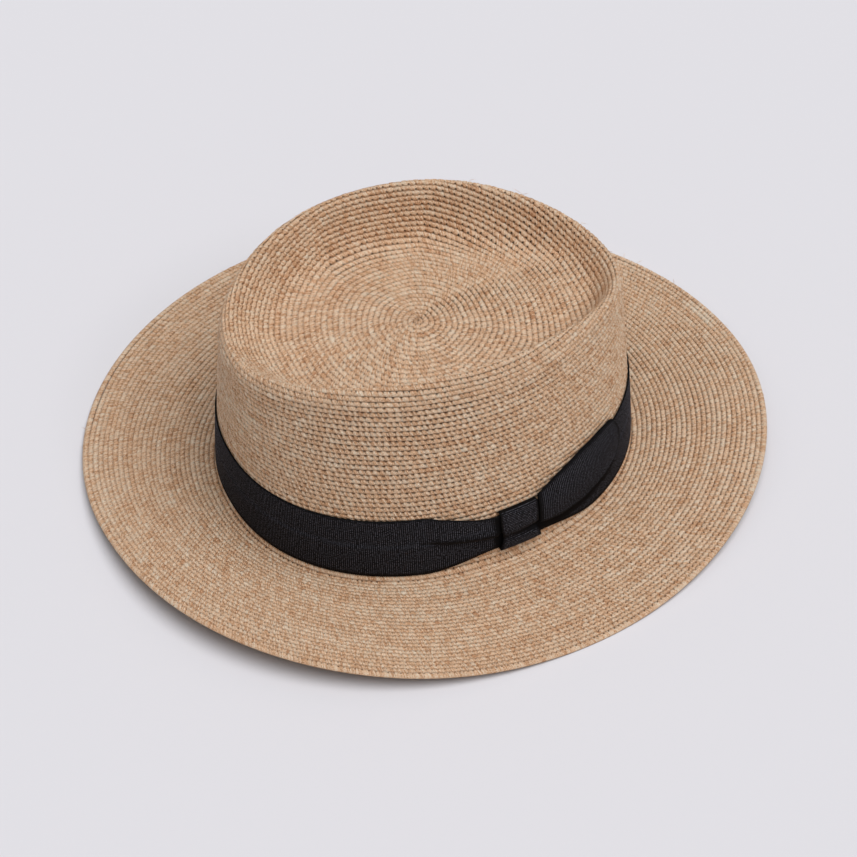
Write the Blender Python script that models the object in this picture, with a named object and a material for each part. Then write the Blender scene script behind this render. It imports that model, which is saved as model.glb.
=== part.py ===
# A raffia hat with a dished oval crown, a grosgrain band and a flat bow.
# Metres, +Z up, resting on z = 0 with its front towards -Y. The wearer's left is +X.
import math
from collections import namedtuple

import bmesh
import bpy
from mathutils import Matrix, Vector

# Crown and brim, measured on the outside of the straw
HEAD_LENGTH = 0.2070       # crown where it meets the brim, front to back
HEAD_WIDTH = 0.1742        # the same, side to side
HEAD_ROUNDNESS = 2.15      # power of the oval: 2 is an ellipse, more is squarer
CROWN_HEIGHT = 0.1085      # brim to the mean height of the ridge
RIDGE_LENGTH = 0.1934      # ridge round the dished top, front to back
RIDGE_WIDTH = 0.1334       # the same, side to side
RIDGE_FORWARD = 0.0028     # the top sits this far in front of the middle of the head oval
RIDGE_ROLL_OUT = 0.0028    # the rounded ridge swells out this far
RIDGE_ROLL_DOWN = 0.0055   # and is widest this far below its crest
DISH_DEPTH = 0.023         # mean ridge down to the middle of the dish
WALL_LEAN = 1.35           # power of the wall's inward lean: 1 is a straight cone
BRIM_WIDTH = 0.0662        # along the straw, root to edge
ROOT_RADIUS = 0.002        # small curve between wall and brim
ROOT_CUT = 0.3             # where that curve's middle lies, as a share of its radius
STRAW_THICKNESS = 0.0024   # one layer of crochet
FLOOR_PRESS = 0.0007       # how far the lowest stretches of the brim are pressed flat
RAFFIA_COLOUR = (0.55, 0.36, 0.22)
RAFFIA_ROUGHNESS = 0.75

# Ribbon and bow
RIBBON_WIDTH = 0.0365
RIBBON_THICKNESS = 0.0010
GAP = 0.0003               # clearance between pieces that touch
RIBBON_LIFT = ROOT_RADIUS + GAP
KNOT_ANGLE = math.radians(95.9)
KNOT_LENGTH = 0.0203       # round the crown
KNOT_HEIGHT = 0.0230
KNOT_MIDDLE = 0.474        # height of the middle of the knot, as a share of RIBBON_WIDTH
KNOT_THICKNESS = 0.0017
KNOT_EDGE = 0.6            # thickness at its edges, as a share of its middle
WING_LENGTH = 0.0588
WING_THICKNESS = 0.0020
WING_EDGE = 0.55           # thickness at its edges, as a share of its middle
PLEAT_LENGTH = 0.0400      # the band gathers over this length on the front side of the knot
TUCK_LENGTH = 0.0400       # and over this length on the back side, under the wing
PLEAT_DEPTH = 0.0007       # how far the upper fold of the gather stands over the lower one
PLEAT_FROM, PLEAT_TO = 0.3, 0.7    # the fold's slope, as shares of the band's width
PINCH_LOW = 0.17           # the gathered band's lower edge, as a share of RIBBON_WIDTH
PINCH_HIGH = 0.75          # and its upper edge
RIBBON_COLOUR = (0.012, 0.011, 0.014)
RIBBON_ROUGHNESS = 0.8

# Mesh fineness
ROUND_STEPS = 64           # faces round the hat
PATH_STEPS = 2             # rings for each span of the top's profile
BAND_STEP = math.radians(5.0)
FINE_STEP = math.radians(2.5)
ACROSS = 5                 # points across a ribbon
WING_STEPS = 14
KNOT_STEPS = 8
ARC_STEPS = 24             # chords used to measure a length round the crown
ANGLE_TRIES = 5            # rounds of correction when a length is turned into an angle
SMALL = 1e-3               # step for slopes, in radians or metres
SMOOTH_BELOW = math.radians(50)

# Rows of the wall as shares of its height, and of the brim as shares of its width
WALL_ROWS = (0.90, 0.76, 0.60, 0.44, 0.28, 0.14)
BRIM_ROWS = (0.0, 0.18, 0.38, 0.58, 0.78, 0.90, 1.0)

# How the hat departs from plain ovals, as waves round the head. Each row is a wave with so many turns,
# and its shares go along the front-to-back axis (cosine) and across it (sine). Reach is a share of the
# ridge's plan, height of CROWN_HEIGHT, and lift and spread of BRIM_WIDTH.
Wave = namedtuple("Wave", (
    "turns", "reach_along", "reach_across", "height_along", "height_across",
    "lift_along", "lift_across", "spread_along", "spread_across",
))
WAVES = (
    Wave(0, 1.000, 0.000, 1.000, 0.000, 0.022, 0.000, 1.000, 0.000),
    Wave(1, 0.000, 0.018, 0.045, 0.016, 0.024, 0.040, -0.003, -0.006),
    Wave(2, 0.000, -0.005, -0.078, 0.013, 0.037, 0.023, 0.004, -0.028),
    Wave(3, -0.016, 0.005, -0.004, 0.004, -0.006, 0.060, -0.022, 0.007),
    Wave(4, 0.011, -0.007, -0.008, 0.003, -0.002, -0.008, 0.000, 0.000),
)

# Rings of the dished top from its middle out to the ridge. Reach is a share of the ridge's own reach;
# fall is 0 at the height of the ridge and 1 at the middle of the dish, for front, side and back.
# Fold is how much of the folds below shows on that ring.
Ring = namedtuple("Ring", "name reach_front reach_side reach_back fall_front fall_side fall_back fold")
TOP_RINGS = (
    Ring("start", 0.00, 0.00, 0.00, 1.00, 1.00, 1.00, 0.0),
    Ring("round", 0.17, 0.22, 0.17, 1.01, 1.01, 1.02, 0.0),
    Ring("floor", 0.42, 0.50, 0.44, 1.03, 1.03, 1.12, 0.2),
    Ring("trough", 0.64, 0.73, 0.74, 1.02, 1.03, 1.34, 0.8),
    Ring("bend", 0.77, 0.83, 0.87, 0.86, 0.92, 1.18, 1.0),
    Ring("slope", 0.87, 0.895, 0.925, 0.52, 0.58, 0.66, 0.6),
    Ring("lip", 0.955, 0.955, 0.965, 0.13, 0.13, 0.15, 0.1),
)

# Soft folds of the dish: angle from the front, half width round the hat, both in degrees, and depth as a
# share of DISH_DEPTH. A negative depth stands up.
Fold = namedtuple("Fold", "name angle half_width depth")
FOLDS = (
    Fold("crease on the right wall", 262.0, 14.0, 0.08),
    Fold("bend at the front left", 38.0, 18.0, -0.09),
    Fold("pleat at the back", 196.0, 14.0, 0.08),
)

# The wing of the bow from the knot to its end, as shares: along WING_LENGTH, of RIBBON_WIDTH above the
# band's lower edge for low and high, and of WING_THICKNESS.
Section = namedtuple("Section", "along low high thick")
WING_SECTIONS = (
    Section(0.00, 0.36, 0.86, 0.75),
    Section(0.10, 0.30, 0.92, 1.00),
    Section(0.22, 0.25, 1.00, 1.20),
    Section(0.47, 0.20, 1.12, 1.35),
    Section(0.75, 0.22, 1.17, 1.35),
    Section(0.90, 0.30, 1.15, 1.25),
    Section(1.00, 0.50, 1.02, 0.90),
)


def wave(kind, angle):
    """Sum of the waves of one kind (reach, height, lift or spread) at an angle from the front."""
    total = 0.0
    for row in WAVES:
        total += getattr(row, kind + "_along") * math.cos(row.turns * angle)
        total += getattr(row, kind + "_across") * math.sin(row.turns * angle)
    return total


def oval(length, width, angle):
    """A point on an oval in plan. Angle 0 is the front, and a quarter turn is the wearer's left."""
    c, s = math.cos(angle), math.sin(angle)
    reach = (abs(c) ** HEAD_ROUNDNESS + abs(s) ** HEAD_ROUNDNESS) ** (-1 / HEAD_ROUNDNESS)
    return Vector((width / 2 * s * reach, -length / 2 * c * reach, 0))


def outward(angle, at):
    """Unit vector in plan, square to the closed curve at(angle) and pointing away from its inside."""
    along = at(angle + SMALL) - at(angle - SMALL)
    return Vector((along.y, -along.x, 0)).normalized()


def root(angle):
    """Where the wall of the crown would meet a flat brim."""
    return oval(HEAD_LENGTH, HEAD_WIDTH, angle)


def ridge_plan(angle):
    middle = Vector((0, -RIDGE_FORWARD, 0))
    return middle + oval(RIDGE_LENGTH, RIDGE_WIDTH, angle) * wave("reach", angle)


def ridge(angle):
    return ridge_plan(angle) + Vector((0, 0, CROWN_HEIGHT * wave("height", angle)))


def shoulder(angle):
    """The widest point of the rounded ridge, where the wall begins."""
    out = outward(angle, ridge_plan) * RIDGE_ROLL_OUT
    return ridge(angle) + out - Vector((0, 0, RIDGE_ROLL_DOWN))


def wall(angle, height):
    """A point on the outside of the crown's wall at a height above the brim."""
    foot, top = root(angle), shoulder(angle)
    lean = max(height / top.z, 0.0) ** WALL_LEAN
    return Vector((foot.x + (top.x - foot.x) * lean, foot.y + (top.y - foot.y) * lean, height))


def wall_out(angle, height):
    """Unit vector square to the wall."""
    round_it = wall(angle + SMALL, height) - wall(angle - SMALL, height)
    up_it = wall(angle, height + SMALL) - wall(angle, height - SMALL)
    return round_it.cross(up_it).normalized()


def brim(angle, share):
    """A point on top of the brim: share 0 is the root and 1 the edge."""
    foot, away = root(angle), outward(angle, root)
    lift = BRIM_WIDTH * wave("lift", angle)
    flat = math.sqrt((BRIM_WIDTH * wave("spread", angle)) ** 2 - lift ** 2)
    rise = lift * math.sin(share * math.pi / 2)
    return foot + away * (ROOT_RADIUS + (flat - ROOT_RADIUS) * share) + Vector((0, 0, rise))


def by_side(front, side, back, angle):
    """Blend of three values round the hat."""
    c = math.cos(angle)
    return side + ((front if c > 0 else back) - side) * c * c


def fold_depth(angle):
    """How far the folds push the dish down at an angle, where they are deepest."""
    total = 0.0
    for fold in FOLDS:
        away = (math.degrees(angle) - fold.angle + 180) % 360 - 180
        total += fold.depth * math.exp(-((away / fold.half_width) ** 2))
    return DISH_DEPTH * total


def top_ring(ring, angle):
    """A point of the dished top."""
    middle = Vector((0, -RIDGE_FORWARD, 0))
    crest = ridge(angle)
    reach = by_side(ring.reach_front, ring.reach_side, ring.reach_back, angle)
    fall = by_side(ring.fall_front, ring.fall_side, ring.fall_back, angle)
    floor = CROWN_HEIGHT - DISH_DEPTH
    point = middle + (crest - middle) * reach
    point.z = crest.z + (floor - crest.z) * fall - fold_depth(angle) * ring.fold
    return point


def smooth_path(points, steps):
    """The same path with more points, on cubic curves through the ones given."""
    path = []
    for i in range(len(points) - 1):
        before = points[max(i - 1, 0)]
        here, there = points[i], points[i + 1]
        after = points[min(i + 2, len(points) - 1)]
        for k in range(steps):
            t = k / steps
            path.append(0.5 * (
                2 * here
                + (there - before) * t
                + (2 * before - 5 * here + 4 * there - after) * t * t
                + (3 * here - before - 3 * there + after) * t * t * t
            ))
    return path + [points[-1]]


def profile(angle):
    """The outside of the straw at one angle, from the middle of the dish to the edge of the brim."""
    side = shoulder(angle)
    top = [top_ring(ring, angle) for ring in TOP_RINGS]
    top += [ridge(angle), side, wall(angle, side.z * WALL_ROWS[0])]
    points = smooth_path(top, PATH_STEPS)
    points += [wall(angle, side.z * share) for share in WALL_ROWS[1:]]
    points.append(wall(angle, ROOT_RADIUS))
    cut = ROOT_RADIUS * ROOT_CUT
    points.append(wall(angle, cut) + outward(angle, root) * cut)
    return points + [brim(angle, share) for share in BRIM_ROWS]


def full_turn(steps):
    return [2 * math.pi * k / steps for k in range(steps)]


def material(name, colour, roughness):
    made = bpy.data.materials.new(name)
    made.use_nodes = True
    shader = made.node_tree.nodes["Principled BSDF"]
    shader.inputs["Base Color"].default_value = (*colour, 1)
    shader.inputs["Roughness"].default_value = roughness
    shader.inputs["Metallic"].default_value = 0.0
    made.diffuse_color = (*colour, 1)
    return made


def finish(bm, name, its_material):
    """Turns a bmesh into a named object, shaded smooth except at its edges."""
    mesh = bpy.data.meshes.new(name)
    bm.to_mesh(mesh)
    bm.free()
    mesh.materials.append(its_material)
    mesh.shade_smooth()
    mesh.set_sharp_from_angle(angle=SMOOTH_BELOW)
    made = bpy.data.objects.new(name, mesh)
    bpy.context.scene.collection.objects.link(made)
    return made


def loop_of(bm, points):
    """A closed loop of edges through the points, in their order."""
    ring = bmesh.ops.create_circle(bm, segments=len(points), radius=1.0, cap_ends=False)["verts"]
    for vertex, point in zip(ring, points):
        vertex.co = point
    return ring


def loop_edges(bm, ring):
    """The open edges that run round a loop of vertices."""
    on_ring = set(ring)
    return [e for e in bm.edges if (e.is_boundary or e.is_wire) and on_ring.issuperset(e.verts)]


def grow(bm, ring, points):
    """Extrudes a loop of edges by one row of faces, out to the points."""
    made = bmesh.ops.extrude_edge_only(bm, edges=loop_edges(bm, ring))["geom"]
    place = {vertex: number for number, vertex in enumerate(ring)}
    next_ring = [None] * len(ring)
    for vertex in (item for item in made if isinstance(item, bmesh.types.BMVert)):
        old = next(e.other_vert(vertex) for e in vertex.link_edges if e.other_vert(vertex) in place)
        next_ring[place[old]] = vertex
    for vertex, point in zip(next_ring, points):
        vertex.co = point
    return next_ring


def raffia_body():
    """Crown and brim: crocheted in one piece, so one hollow wall from the middle of the top to the brim's edge."""
    columns = [profile(angle) for angle in full_turn(ROUND_STEPS)]
    bm = bmesh.new()
    ring = loop_of(bm, [column[-1] for column in columns])
    for row in range(len(columns[0]) - 2, 0, -1):
        ring = grow(bm, ring, [column[row] for column in columns])
    inner = grow(bm, ring, [(column[1] + column[0]) / 2 for column in columns])
    bmesh.ops.pointmerge(bm, verts=inner, merge_co=columns[0][0])
    bmesh.ops.recalc_face_normals(bm, faces=bm.faces)
    if sum(face.normal.z * face.calc_area() for face in bm.faces) < 0:
        bmesh.ops.reverse_faces(bm, faces=bm.faces)
    bmesh.ops.solidify(bm, geom=bm.faces[:], thickness=STRAW_THICKNESS)
    for vertex in bm.verts:
        vertex.co.z = max(vertex.co.z, FLOOR)
    return finish(bm, "raffia_body", material("raffia", RAFFIA_COLOUR, RAFFIA_ROUGHNESS))


def strip(name, sections, closed, its_material):
    """A ribbon piece: a tube of flat sections round the crown, joined in a ring or closed at both ends."""
    bm = bmesh.new()
    first = ring = loop_of(bm, sections[0])
    for section in sections[1:]:
        ring = grow(bm, ring, section)
    ends = [loop_edges(bm, first), loop_edges(bm, ring)]
    if closed:
        bmesh.ops.bridge_loops(bm, edges=ends[0] + ends[1])
    else:
        for edges in ends:
            bmesh.ops.contextual_create(bm, geom=edges)
    bmesh.ops.recalc_face_normals(bm, faces=bm.faces)
    return finish(bm, name, its_material)


def section_at(angle, low, high, under, thickness):
    """The outline of a ribbon across the wall. Under is its distance from the wall, and thickness is a
    function of the share of its height."""
    shares = [k / (ACROSS - 1) for k in range(ACROSS)]

    def off_wall(share, distance):
        height = low + (high - low) * share
        return wall(angle, height) + wall_out(angle, height) * distance

    outer = [off_wall(share, under + thickness(share)) for share in shares]
    return outer + [off_wall(share, under) for share in reversed(shares)]


def ease(share):
    share = min(max(share, 0.0), 1.0)
    return share * share * (3 - 2 * share)


def round_length(start, end):
    """Length round the crown at mid ribbon height, from one angle to another."""
    height = RIBBON_LIFT + RIBBON_WIDTH / 2
    points = [wall(start + (end - start) * k / ARC_STEPS, height) for k in range(ARC_STEPS + 1)]
    return sum((b - a).length for a, b in zip(points, points[1:]))


def angle_along(start, length):
    """The angle reached by going a length round the crown from an angle."""
    end = start + length / (HEAD_WIDTH / 2)
    for _ in range(ANGLE_TRIES):
        end = start + length / round_length(start, end) * abs(end - start)
    return end


KNOT_START = angle_along(KNOT_ANGLE, -KNOT_LENGTH / 2)
KNOT_END = angle_along(KNOT_ANGLE, KNOT_LENGTH / 2)
PLEAT_START = angle_along(KNOT_START, -PLEAT_LENGTH)
TUCK_END = angle_along(KNOT_END, TUCK_LENGTH)
WING_START = angle_along(KNOT_END, GAP)
WING_END = angle_along(WING_START, WING_LENGTH)


def gather(angle):
    """1 where the band is pinched under the knot, 0 where it lies flat."""
    if angle < KNOT_START:
        return ease((angle - PLEAT_START) / (KNOT_START - PLEAT_START))
    if angle > KNOT_END:
        return ease((TUCK_END - angle) / (TUCK_END - KNOT_END))
    return 1.0


def ribbon_band(its_material):
    """The band round the crown, pinched where it runs under the knot: the upper fold stands over the lower."""
    coarse = [KNOT_ANGLE - math.pi + k * BAND_STEP for k in range(int(2 * math.pi / BAND_STEP))]
    angles = [a for a in coarse if not PLEAT_START < a < TUCK_END]
    fine = int((TUCK_END - PLEAT_START) / FINE_STEP)
    angles += [PLEAT_START + (TUCK_END - PLEAT_START) * k / fine for k in range(fine + 1)]
    sections = []
    for angle in sorted(angles):
        pinch = gather(angle)
        low = RIBBON_LIFT + RIBBON_WIDTH * PINCH_LOW * pinch
        high = RIBBON_LIFT + RIBBON_WIDTH * (1 + (PINCH_HIGH - 1) * pinch)

        def thickness(share):
            return RIBBON_THICKNESS + PLEAT_DEPTH * pinch * ease((share - PLEAT_FROM) / (PLEAT_TO - PLEAT_FROM))

        sections.append(section_at(angle, low, high, GAP, thickness))
    return strip("ribbon_band", sections, True, its_material)


def table_value(rows, field, along):
    """Straight-line reading of a table column at a share of the way along."""
    for a, b in zip(rows, rows[1:]):
        if along <= b.along:
            part = (along - a.along) / (b.along - a.along)
            return getattr(a, field) + (getattr(b, field) - getattr(a, field)) * part
    return getattr(rows[-1], field)


def swelling(thick, edge):
    """A thickness that is fullest half-way up and falls to a share of that at both edges."""
    return lambda share: thick * (edge + (1 - edge) * math.sin(math.pi * share))


def bow_wing(its_material):
    """The flat loop of the bow, pinched at the knot and as wide as the ribbon at its end."""
    sections = []
    for k in range(WING_STEPS + 1):
        along = k / WING_STEPS
        angle = WING_START + (WING_END - WING_START) * along
        low = RIBBON_LIFT + RIBBON_WIDTH * table_value(WING_SECTIONS, "low", along)
        high = RIBBON_LIFT + RIBBON_WIDTH * table_value(WING_SECTIONS, "high", along)
        thick = WING_THICKNESS * table_value(WING_SECTIONS, "thick", along)
        under = GAP + RIBBON_THICKNESS + PLEAT_DEPTH * gather(angle) + GAP
        sections.append(section_at(angle, low, high, under, swelling(thick, WING_EDGE)))
    return strip("bow_wing", sections, False, its_material)


def bow_knot(its_material):
    """The short loop that holds the bow, wrapped over the gathered band."""
    middle = RIBBON_LIFT + RIBBON_WIDTH * KNOT_MIDDLE
    low, high = middle - KNOT_HEIGHT / 2, middle + KNOT_HEIGHT / 2
    under = GAP + RIBBON_THICKNESS + PLEAT_DEPTH + GAP
    sections = []
    for k in range(KNOT_STEPS + 1):
        angle = KNOT_START + (KNOT_END - KNOT_START) * k / KNOT_STEPS
        sections.append(section_at(angle, low, high, under, swelling(KNOT_THICKNESS, KNOT_EDGE)))
    return strip("bow_knot", sections, False, its_material)


def stand(pieces):
    """Moves the pieces so that the origin is at the middle of the base of the first one's box."""
    points = [vertex.co for vertex in pieces[0].data.vertices]
    low = [min(point[axis] for point in points) for axis in range(3)]
    high = [max(point[axis] for point in points) for axis in range(3)]
    shift = Vector((-(low[0] + high[0]) / 2, -(low[1] + high[1]) / 2, -low[2]))
    for piece in pieces:
        piece.data.transform(Matrix.Translation(shift))


# The surface that the hat rests on, measured from the root of the brim
LOWEST_EDGE = min(brim(angle, 1.0).z for angle in full_turn(ROUND_STEPS))
FLOOR = LOWEST_EDGE - STRAW_THICKNESS + FLOOR_PRESS

for old in list(bpy.data.objects):
    bpy.data.objects.remove(old)
grosgrain = material("grosgrain", RIBBON_COLOUR, RIBBON_ROUGHNESS)
stand([raffia_body(), ribbon_band(grosgrain), bow_wing(grosgrain), bow_knot(grosgrain)])
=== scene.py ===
import math

import bmesh
import bpy
import numpy as np
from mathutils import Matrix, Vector


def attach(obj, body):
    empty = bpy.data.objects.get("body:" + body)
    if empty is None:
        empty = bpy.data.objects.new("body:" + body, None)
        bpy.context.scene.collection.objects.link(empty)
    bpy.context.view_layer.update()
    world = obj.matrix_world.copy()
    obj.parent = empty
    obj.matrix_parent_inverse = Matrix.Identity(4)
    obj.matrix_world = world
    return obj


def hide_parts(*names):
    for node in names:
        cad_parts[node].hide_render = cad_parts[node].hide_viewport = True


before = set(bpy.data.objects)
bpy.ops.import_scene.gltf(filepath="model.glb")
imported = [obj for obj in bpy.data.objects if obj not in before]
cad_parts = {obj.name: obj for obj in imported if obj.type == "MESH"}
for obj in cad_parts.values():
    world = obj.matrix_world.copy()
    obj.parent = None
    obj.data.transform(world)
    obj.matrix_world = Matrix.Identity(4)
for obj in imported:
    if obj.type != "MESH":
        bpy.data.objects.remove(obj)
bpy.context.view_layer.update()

print("frame loaded")

# the hat's blocked shape, in metres; angle 0 is the front and a quarter turn the wearer's left
shape = dict(
    headLength=0.2070, headWidth=0.1742, roundness=2.15,
    crownHeight=0.1085, ridgeLength=0.1934, ridgeWidth=0.1334, ridgeForward=0.0028,
    rollOut=0.0028, rollDown=0.0055, dishDepth=0.023, wallLean=1.35,
    brimWidth=0.0662, rootRadius=0.002, rootCut=0.3, straw=0.0024, floorPress=0.0007,
)
# waves round the head: (along the hat, across it) for 0, 1, 2, 3 and 4 turns
waves = dict(
    reach=((1.0, 0), (0, 0.018), (0, -0.005), (-0.016, 0.005), (0.011, -0.007)),
    height=((1.0, 0), (0.045, 0.016), (-0.078, 0.013), (-0.004, 0.004), (-0.008, 0.003)),
    lift=((0.022, 0), (0.024, 0.040), (0.037, 0.023), (-0.006, 0.060), (-0.002, -0.008)),
    spread=((1.0, 0), (-0.003, -0.006), (0.004, -0.028), (-0.022, 0.007), (0, 0)),
)
# rings of the dish: reach at front, side, back, fall at front, side, back, share of the folds
dishRings = (
    (0.00, 0.00, 0.00, 1.00, 1.00, 1.00, 0.0),
    (0.17, 0.22, 0.17, 1.01, 1.01, 1.02, 0.0),
    (0.42, 0.50, 0.44, 1.03, 1.03, 1.12, 0.2),
    (0.64, 0.73, 0.74, 1.02, 1.03, 1.34, 0.8),
    (0.77, 0.83, 0.87, 0.86, 0.92, 1.18, 1.0),
    (0.87, 0.895, 0.925, 0.52, 0.58, 0.66, 0.6),
    (0.955, 0.955, 0.965, 0.13, 0.13, 0.15, 0.1),
)
dishFolds = ((262.0, 14.0, 0.08), (38.0, 18.0, -0.09), (196.0, 14.0, 0.08))  # angle, half width, depth
wallRows = (0.90, 0.76, 0.60, 0.44, 0.28, 0.14)  # rings of the wall, as shares of its height
slopeStep = 1e-3
# how finely the surface is worked out: columns round the hat, and rings or rows of each stretch
fineness = dict(columns=720, edge=64, topSteps=8, brimRings=40, crownRows=400, brimRows=160)


def wave(kind, angle):
    return sum(c * np.cos(n * angle) + s * np.sin(n * angle) for n, (c, s) in enumerate(waves[kind]))


def vector(x, y, z):
    return np.stack(np.broadcast_arrays(x, y, z), axis=-1).astype(float)


def unit(v):
    return v / np.maximum(np.linalg.norm(v, axis=-1, keepdims=True), 1e-12)


def oval(length, width, angle):
    # seen from above; a roundness of 2 is an ellipse, more is squarer
    c, s = np.cos(angle), np.sin(angle)
    p = shape["roundness"]
    reach = (abs(c) ** p + abs(s) ** p) ** (-1 / p)
    return vector(width / 2 * s * reach, -length / 2 * c * reach, 0.0)


def outward(angle, curve):
    # level, and square to a curve round the hat
    along = curve(angle + slopeStep) - curve(angle - slopeStep)
    return unit(vector(along[..., 1], -along[..., 0], 0.0))


def root(angle):
    # where the wall meets the brim
    return oval(shape["headLength"], shape["headWidth"], angle)


def ridgePlan(angle):
    plan = oval(shape["ridgeLength"], shape["ridgeWidth"], angle) * wave("reach", angle)[..., None]
    return plan - np.array((0, shape["ridgeForward"], 0))


def ridge(angle):
    return ridgePlan(angle) + vector(0, 0, shape["crownHeight"] * wave("height", angle))


def shoulder(angle):
    # just under the ridge and a little outside it, where the wall starts to roll over
    return ridge(angle) + outward(angle, ridgePlan) * shape["rollOut"] - np.array((0, 0, shape["rollDown"]))


def wall(angle, height):
    # it leans in more and more towards the top
    foot, top = root(angle), shoulder(angle)
    lean = np.maximum(height / top[..., 2], 0) ** shape["wallLean"]
    return vector(
        foot[..., 0] + (top[..., 0] - foot[..., 0]) * lean,
        foot[..., 1] + (top[..., 1] - foot[..., 1]) * lean, height)


def wallOut(angle, height):
    # square to the wall
    roundIt = wall(angle + slopeStep, height) - wall(angle - slopeStep, height)
    upIt = wall(angle, height + slopeStep) - wall(angle, height - slopeStep)
    return unit(np.cross(roundIt, upIt))


def brim(angle, share):
    # share 0 is just outside the root and share 1 at the rim
    lift = shape["brimWidth"] * wave("lift", angle)
    flat = np.sqrt((shape["brimWidth"] * wave("spread", angle)) ** 2 - lift ** 2)
    away = shape["rootRadius"] + (flat - shape["rootRadius"]) * share
    rise = vector(0, 0, lift * np.sin(share * np.pi / 2))
    return root(angle) + outward(angle, root) * away[..., None] + rise


def bySide(front, side, back, angle):
    # a value that goes smoothly from front to side to back
    c = np.cos(angle)
    return side + (np.where(c > 0, front, back) - side) * c * c


def dishRing(ring, angle):
    folds = 0
    for foldAngle, halfWidth, depth in dishFolds:
        away = (np.degrees(angle) - foldAngle + 180) % 360 - 180
        folds = folds + depth * np.exp(-((away / halfWidth) ** 2))
    middle = np.array((0, -shape["ridgeForward"], 0))
    crest = ridge(angle)
    point = middle + (crest - middle) * bySide(*ring[0:3], angle)[..., None]
    floor = shape["crownHeight"] - shape["dishDepth"]
    point[..., 2] = crest[..., 2] + (floor - crest[..., 2]) * bySide(*ring[3:6], angle)
    point[..., 2] -= folds * shape["dishDepth"] * ring[6]
    return point


def smoothPath(points, steps):
    # a smooth curve through all the rings
    path = []
    for i in range(len(points) - 1):
        before, here = points[max(i - 1, 0)], points[i]
        there, after = points[i + 1], points[min(i + 2, len(points) - 1)]
        for t in np.arange(steps) / steps:
            path.append(0.5 * (
                2 * here + (there - before) * t
                + (2 * before - 5 * here + 4 * there - after) * t * t
                + (3 * here - before - 3 * there + after) * t ** 3))
    return path + [points[-1]]


def evenly(path, count):
    # the path at each angle, resampled to equal lengths
    path = np.array(path)
    lengths = np.concatenate([np.zeros((1, path.shape[1])), np.cumsum(
        np.linalg.norm(np.diff(path, axis=0), axis=-1), axis=0)])
    even = np.empty((count, path.shape[1], 3))
    for column in range(path.shape[1]):
        places = np.linspace(0, lengths[-1, column], count)
        for axis in range(3):
            even[:, column, axis] = np.interp(places, lengths[:, column], path[:, column, axis])
    return even


def fullTurn(count):
    return np.arange(count) * 2 * np.pi / count


angles = fullTurn(fineness["columns"])
edge = brim(fullTurn(fineness["edge"]), np.ones(fineness["edge"]))
standing = shape["straw"] - edge[:, 2].min() - shape["floorPress"]
middle = (edge[:, :2].min(axis=0) + edge[:, :2].max(axis=0)) / 2
toFrame = np.array((-middle[0], -middle[1], standing))  # from the root of the brim to the frame's origin

side = shoulder(angles)
top = [dishRing(ring, angles) for ring in dishRings]
top += [ridge(angles), side, wall(angles, side[:, 2] * wallRows[0])]
crownPath = smoothPath(top, fineness["topSteps"])
crownPath += [wall(angles, side[:, 2] * share) for share in wallRows[1:]]
cut = shape["rootRadius"] * shape["rootCut"]
crownPath += [
    wall(angles, np.full(len(angles), shape["rootRadius"])),
    wall(angles, np.full(len(angles), cut)) + outward(angles, root) * cut]
brimShares = np.linspace(0, 1, fineness["brimRings"])
brimPath = [brim(angles, np.full(len(angles), share)) for share in brimShares]
crownGrid = evenly(crownPath + brimPath[:1], fineness["crownRows"]) + toFrame
brimGrid = evenly(brimPath, fineness["brimRows"]) + toFrame


def normalGrid(grid):
    roundIt = np.roll(grid, -1, axis=1) - np.roll(grid, 1, axis=1)
    outIt = np.gradient(grid, axis=0)
    normals = unit(np.cross(outIt, roundIt))
    if np.ptp(grid[0], axis=0).max() < 1e-9:  # the middle of the dish is one point
        normals[0] = (0, 0, 1)
    return normals


crownNormals, brimNormals = normalGrid(crownGrid), normalGrid(brimGrid)


def sample(grid, share, angle):
    # a point of the grid between its rows and columns
    row = np.clip(share, 0, 1) * (grid.shape[0] - 1)
    column = (angle / (2 * np.pi) * grid.shape[1]) % grid.shape[1]
    r0 = np.minimum(row.astype(int), grid.shape[0] - 2)
    c0 = column.astype(int) % grid.shape[1]
    c1 = (c0 + 1) % grid.shape[1]
    fr, fc = (row - r0)[..., None], (column - np.floor(column))[..., None]
    upper = grid[r0, c0] * (1 - fc) + grid[r0, c1] * fc
    lower = grid[r0 + 1, c0] * (1 - fc) + grid[r0 + 1, c1] * fc
    return upper * (1 - fr) + lower * fr


frontArc = np.linalg.norm(np.diff(crownGrid[:, 0], axis=0), axis=-1).sum()
print("surface worked out, from the dish's middle to the front of the brim", round(float(frontArc), 4))

# the crochet: every row is a rope of stitches, closed round the hat
crochet = dict(
    crownRows=74, brimRows=27, crownStitch=0.0032, brimStitch=0.0027, wallStitches=184, wallFrom=38,
    hiddenFrom=62, rootFrom=72, thickness=0.0025, slant=0.14, uneven=0.05, stitchChange=0.17, skew=0.42,
    dishRows=34, corners=7, cornerShare=0.30, cornerMean=0.95, cornerTurn=0.010, wander=0.07, tightRows=2,
    measureSteps=1440, mostOpen=1.1, patternShift=7.3, seed=11,
)
# rows drift in and out in waves: turns round the hat, change from row to row, start, size
wanderWaves = ((3, 0.21, 1.0, 1.0), (7, -0.33, 0.0, 0.7), (13, 0.50, 0.0, 0.5))
# the rope's underside: how far it reaches to each side, how low that is, and the shadow right below
underside = dict(reach=0.51, height=-0.35, shadow=0.2)
ropeSides = 7
# how the straw's colour changes: by the row, slowly along it, by the strand, by the stitch, and at odd ones
strawTone = dict(
    row=0.012, slow=0.020, slowLength=0.030, strand=0.036, strandLength=0.026, stitch=0.034,
    pale=0.12, dark=0.14, oddStitches=0.03,
)
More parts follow.
